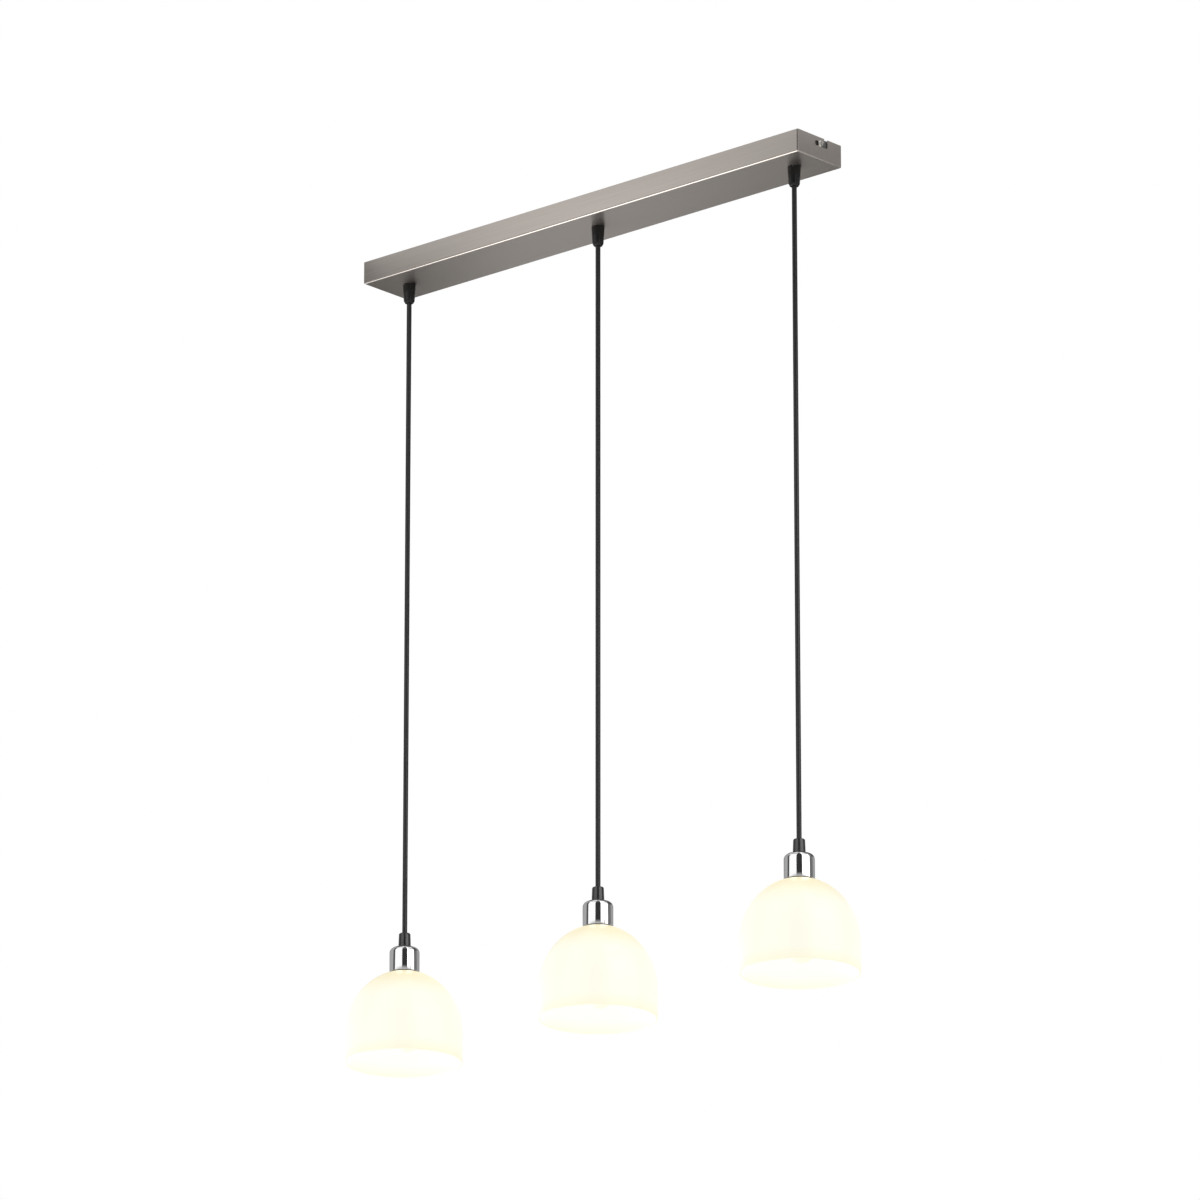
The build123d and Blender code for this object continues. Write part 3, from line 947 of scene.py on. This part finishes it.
for pendant in pendants:
    dress(opal_globe, "lamp_globe_" + pendant)
    dress(white_collar, "lamp_collar_" + pendant)
    dress(bright_nickel, "lamp_cap_" + pendant)
    dress(black_glass, "lamp_insulator_" + pendant)
    dress(tinned_tip, "lamp_tip_" + pendant)


# Studio: a white room with a pale floor, soft lamps, and the view of the photograph, from the right
# and from below.
view_azimuth = radians(41.7)
view_drop = radians(17.5)
view_distance = 10.0
view_target = Vector((0, 0, -0.5))
lens_length = 252.8
frame_width = 36.0
frame_shift = (0.00167, 0.00117)
view_reach = 100.0
away = Vector(
    (sin(view_azimuth) * cos(view_drop), -cos(view_azimuth) * cos(view_drop), -sin(view_drop))
)
camera = bpy.data.objects.new("photograph_view", bpy.data.cameras.new("photograph_view"))
camera.data.lens = lens_length
camera.data.sensor_width = frame_width
camera.data.shift_x, camera.data.shift_y = frame_shift
camera.data.clip_end = view_reach
camera.location = view_target + away * view_distance
camera.rotation_mode = "QUATERNION"
camera.rotation_quaternion = (-away).to_track_quat("-Z", "Y")
scene.collection.objects.link(camera)
scene.camera = camera
scene.view_settings.view_transform = "Standard"


def seen_share(tree):
    """One for rays that show a thing straight, reflected or through glass, and else zero."""
    rays = add_node(tree, "ShaderNodeLightPath", {})
    straight = add_node(
        tree,
        "ShaderNodeMath",
        {0: rays.outputs["Is Camera Ray"], 1: rays.outputs["Is Glossy Ray"]},
        operation="ADD",
    )
    in_all = add_node(
        tree,
        "ShaderNodeMath",
        {0: straight.outputs["Value"], 1: rays.outputs["Is Transmission Ray"]},
        operation="ADD",
        use_clamp=True,
    )
    return in_all.outputs["Value"]


# The room is white where it shows, and lights the object less than that.
room_light = 0.4
room_white = 1.0
world = bpy.data.worlds.new("white_room")
world.use_nodes = True
world.node_tree.nodes.clear()
room_level = add_node(
    world.node_tree,
    "ShaderNodeMapRange",
    {"Value": seen_share(world.node_tree), "To Min": room_light, "To Max": room_white},
)
room = add_node(
    world.node_tree,
    "ShaderNodeBackground",
    {"Color": linear("#FFFFFF"), "Strength": room_level.outputs["Result"]},
)
add_node(world.node_tree, "ShaderNodeOutputWorld", {"Surface": room.outputs["Background"]})
scene.world = world


def add_backdrop(name, shape, material):
    """Floor or studio panel, which isn't part of the object."""
    mesh = bpy.data.meshes.new(name)
    shape.to_mesh(mesh)
    shape.free()
    mesh.materials.append(material)
    backdrop = bpy.data.objects.new(name, mesh)
    scene.collection.objects.link(backdrop)
    return backdrop


# The floor lies low enough for views from straight below, and is so wide that no edge shows.
floor_level = -12.0
floor_half_width = 400.0
floor_white = 0.5
floor_shape = bmesh.new()
bmesh.ops.create_grid(floor_shape, x_segments=1, y_segments=1, size=floor_half_width)
bmesh.ops.translate(floor_shape, vec=(0, 0, floor_level), verts=floor_shape.verts)
floor_paint, tree, _ = start_material("pale_floor_paint")
floor_glow = add_node(
    tree, "ShaderNodeMath", {0: seen_share(tree), 1: floor_white}, operation="MULTIPLY"
)
end_material(
    tree,
    {
        "Base Color": linear("#F2F2F2"),
        "Roughness": 0.9,
        "Emission Color": linear("#FFFFFF"),
        "Emission Strength": floor_glow.outputs["Value"],
    },
)
add_backdrop("pale_floor", floor_shape, floor_paint)

# A dome of hung cloth stands far round the object and shows only in its gloss: white to the left
# and right of the view, black behind the viewer, and grey behind the object and under its hem.
cloth_radius = 6.0
cloth_foot = -3.5
# Each band starts at an angle, in degrees from the viewer's side, and has one brightness.
cloth_bands = {-97: 0.09, -78: 1.12, -20: 0.035, 20: 1.8, 78: 0.17, 111: 0.36}
cloth_behind = 0.42
cloth_hem = -0.5
cloth_hem_fade = 0.3
cloth_low = 0.5
# A dark cap hangs high up behind the object.
cloth_cap_edges = (0.88, 0.92)
cloth_cap_level = 0.03
cloth_cap = Vector((-sin(view_azimuth), cos(view_azimuth), 1.5)).normalized()
cloth_shape = bmesh.new()
bmesh.ops.create_uvsphere(cloth_shape, u_segments=96, v_segments=48, radius=cloth_radius)
bmesh.ops.bisect_plane(
    cloth_shape,
    geom=cloth_shape.verts[:] + cloth_shape.edges[:] + cloth_shape.faces[:],
    plane_co=(0, 0, cloth_foot),
    plane_no=(0, 0, -1),
    clear_outer=True,
)
hung_cloth, tree, place = start_material("hung_studio_cloth")
towards_view = add_node(
    tree, "ShaderNodeMapping", {"Vector": place, "Rotation": (0, 0, pi / 2 - view_azimuth)}
)
turn = add_node(
    tree,
    "ShaderNodeTexGradient",
    {"Vector": towards_view.outputs["Vector"]},
    gradient_type="RADIAL",
)
bands = add_node(tree, "ShaderNodeValToRGB", {"Fac": turn.outputs["Fac"]})
bands.color_ramp.interpolation = "CONSTANT"
bands.color_ramp.elements.remove(bands.color_ramp.elements[1])
bands.color_ramp.elements[0].color = (cloth_behind, cloth_behind, cloth_behind, 1)
for angle, level in cloth_bands.items():
    bands.color_ramp.elements.new(0.5 + angle / 360).color = (level, level, level, 1)
hang = add_node(tree, "ShaderNodeSeparateXYZ", {"Vector": place})
hem_share = add_node(
    tree,
    "ShaderNodeMapRange",
    {"Value": hang.outputs["Z"], "From Min": cloth_hem, "From Max": cloth_hem - cloth_hem_fade},
)
banded = add_node(
    tree,
    "ShaderNodeMix",
    {
        0: hem_share.outputs["Result"],
        6: bands.outputs["Color"],
        7: (cloth_low, cloth_low, cloth_low, 1.0),
    },
    data_type="RGBA",
)
high_behind = add_node(
    tree, "ShaderNodeVectorMath", {0: place, 1: cloth_cap / cloth_radius}, operation="DOT_PRODUCT"
)
cap_share = add_node(
    tree,
    "ShaderNodeMapRange",
    {
        "Value": high_behind.outputs["Value"],
        "From Min": cloth_cap_edges[0],
        "From Max": cloth_cap_edges[1],
    },
)
cloth_tone = add_node(
    tree,
    "ShaderNodeMix",
    {
        0: cap_share.outputs["Result"],
        6: banded.outputs[2],
        7: (cloth_cap_level, cloth_cap_level, cloth_cap_level, 1.0),
    },
    data_type="RGBA",
)
cloth_light = add_node(tree, "ShaderNodeEmission", {"Color": cloth_tone.outputs[2]})
add_node(tree, "ShaderNodeOutputMaterial", {"Surface": cloth_light.outputs["Emission"]})
panels = [add_backdrop("hung_cloth", cloth_shape, hung_cloth)]

# Panels near the box shade its brushed faces and folds from end to end: their light rises from the
# first stop to the second and falls off to the third. An even one lies over the open top.
box_panels = {
    "panel_front": {
        "middle": (-0.35, -0.6, 0.25),
        "across": "Y",
        "half_size": (1.0, 0.3),
        "stops": (-1.06, -0.5, 0.24),
        "strengths": (0.0, 1.06, 0.26),
    },
    "panel_behind": {
        "middle": (-0.35, 0.6, -0.325),
        "across": "Y",
        "half_size": (1.0, 0.275),
        "stops": (-0.99, -0.64, 0.12),
        "strengths": (0.0, 0.37, 0.08),
    },
    "panel_right": {
        "middle": (0.95, 0.45, 0.2),
        "across": "X",
        "half_size": (0.7, 0.3),
        "stops": (0.0, 0.5, 1.0),
        "strengths": (0.37, 0.4, 0.37),
    },
    "panel_below": {
        "middle": (-1.4, -0.6, -1.6),
        "across": "Z",
        "half_size": (0.85, 0.9),
        "stops": (-2.0, -1.43, -0.8),
        "strengths": (0.1, 3.6, 3.0),
    },
    "panel_over": {
        "middle": (0.0, 0.0, 0.05),
        "across": "Z",
        "half_size": (0.42, 0.14),
        "stops": (-1.0, 0.0, 1.0),
        "strengths": (0.8, 0.8, 0.8),
    },
    "panel_end": {
        "middle": (0.75, 1.07, -1.0),
        "across": "Y",
        "half_size": (0.45, 0.2),
        "stops": (0.3, 0.75, 1.2),
        "strengths": (1.0, 1.2, 1.0),
    },
}
for name, plan in box_panels.items():
    across = plan["across"]
    panel_shape = bmesh.new()
    bmesh.ops.create_grid(panel_shape, x_segments=1, y_segments=1, size=1)
    bmesh.ops.scale(panel_shape, vec=(*plan["half_size"], 1), verts=panel_shape.verts)
    if across != "Z":
        bmesh.ops.rotate(
            panel_shape,
            cent=(0, 0, 0),
            matrix=Matrix.Rotation(pi / 2, 3, "X"),
            verts=panel_shape.verts,
        )
    if across == "X":
        bmesh.ops.rotate(
            panel_shape,
            cent=(0, 0, 0),
            matrix=Matrix.Rotation(pi / 2, 3, "Z"),
            verts=panel_shape.verts,
        )
    bmesh.ops.translate(panel_shape, vec=plan["middle"], verts=panel_shape.verts)
    panel_cloth, tree, place = start_material(name + "_cloth")
    panel_place = add_node(tree, "ShaderNodeSeparateXYZ", {"Vector": place})
    spot = panel_place.outputs["Y" if across == "X" else "X"]
    start, peak, end = plan["stops"]
    start_strength, peak_strength, end_strength = plan["strengths"]
    rise = add_node(
        tree,
        "ShaderNodeMapRange",
        {
            "Value": spot,
            "From Min": start,
            "From Max": peak,
            "To Min": start_strength,
            "To Max": peak_strength,
        },
        interpolation_type="SMOOTHSTEP",
    )
    fall = add_node(
        tree,
        "ShaderNodeMapRange",
        {
            "Value": spot,
            "From Min": peak,
            "From Max": end,
            "To Min": 1.0,
            "To Max": end_strength / peak_strength,
        },
        interpolation_type="SMOOTHSTEP",
    )
    panel_level = add_node(
        tree,
        "ShaderNodeMath",
        {0: rise.outputs["Result"], 1: fall.outputs["Result"]},
        operation="MULTIPLY",
    )
    panel_light = add_node(tree, "ShaderNodeEmission", {"Strength": panel_level.outputs["Value"]})
    add_node(tree, "ShaderNodeOutputMaterial", {"Surface": panel_light.outputs["Emission"]})
    panels.append(add_backdrop(name, panel_shape, panel_cloth))
# The cloth and the panels show only in gloss, but the one over the box also lights its inside.
for panel in panels:
    panel.visible_camera = False
    panel.visible_diffuse = panel.name == "panel_over"
    panel.visible_transmission = False
    panel.visible_shadow = False

# Two wide soft lamps light the object itself, and neither shows in its gloss.
soft_lamps = {
    "soft_lamp_right": {"spot": (2.3, -0.3, 0.5), "size": (1.2, 1.2), "watts": 8.0},
    "soft_lamp_below": {"spot": (-1.9, -0.3, -2.1), "size": (2.8, 1.0), "watts": 33.0},
}
for name, plan in soft_lamps.items():
    lamp = bpy.data.objects.new(name, bpy.data.lights.new(name, "AREA"))
    lamp.data.shape = "RECTANGLE"
    lamp.data.size, lamp.data.size_y = plan["size"]
    lamp.data.energy = plan["watts"]
    lamp.location = plan["spot"]
    lamp.rotation_mode = "QUATERNION"
    lamp.rotation_quaternion = (view_target - lamp.location).to_track_quat("-Z", "Y")
    lamp.visible_glossy = False
    scene.collection.objects.link(lamp)
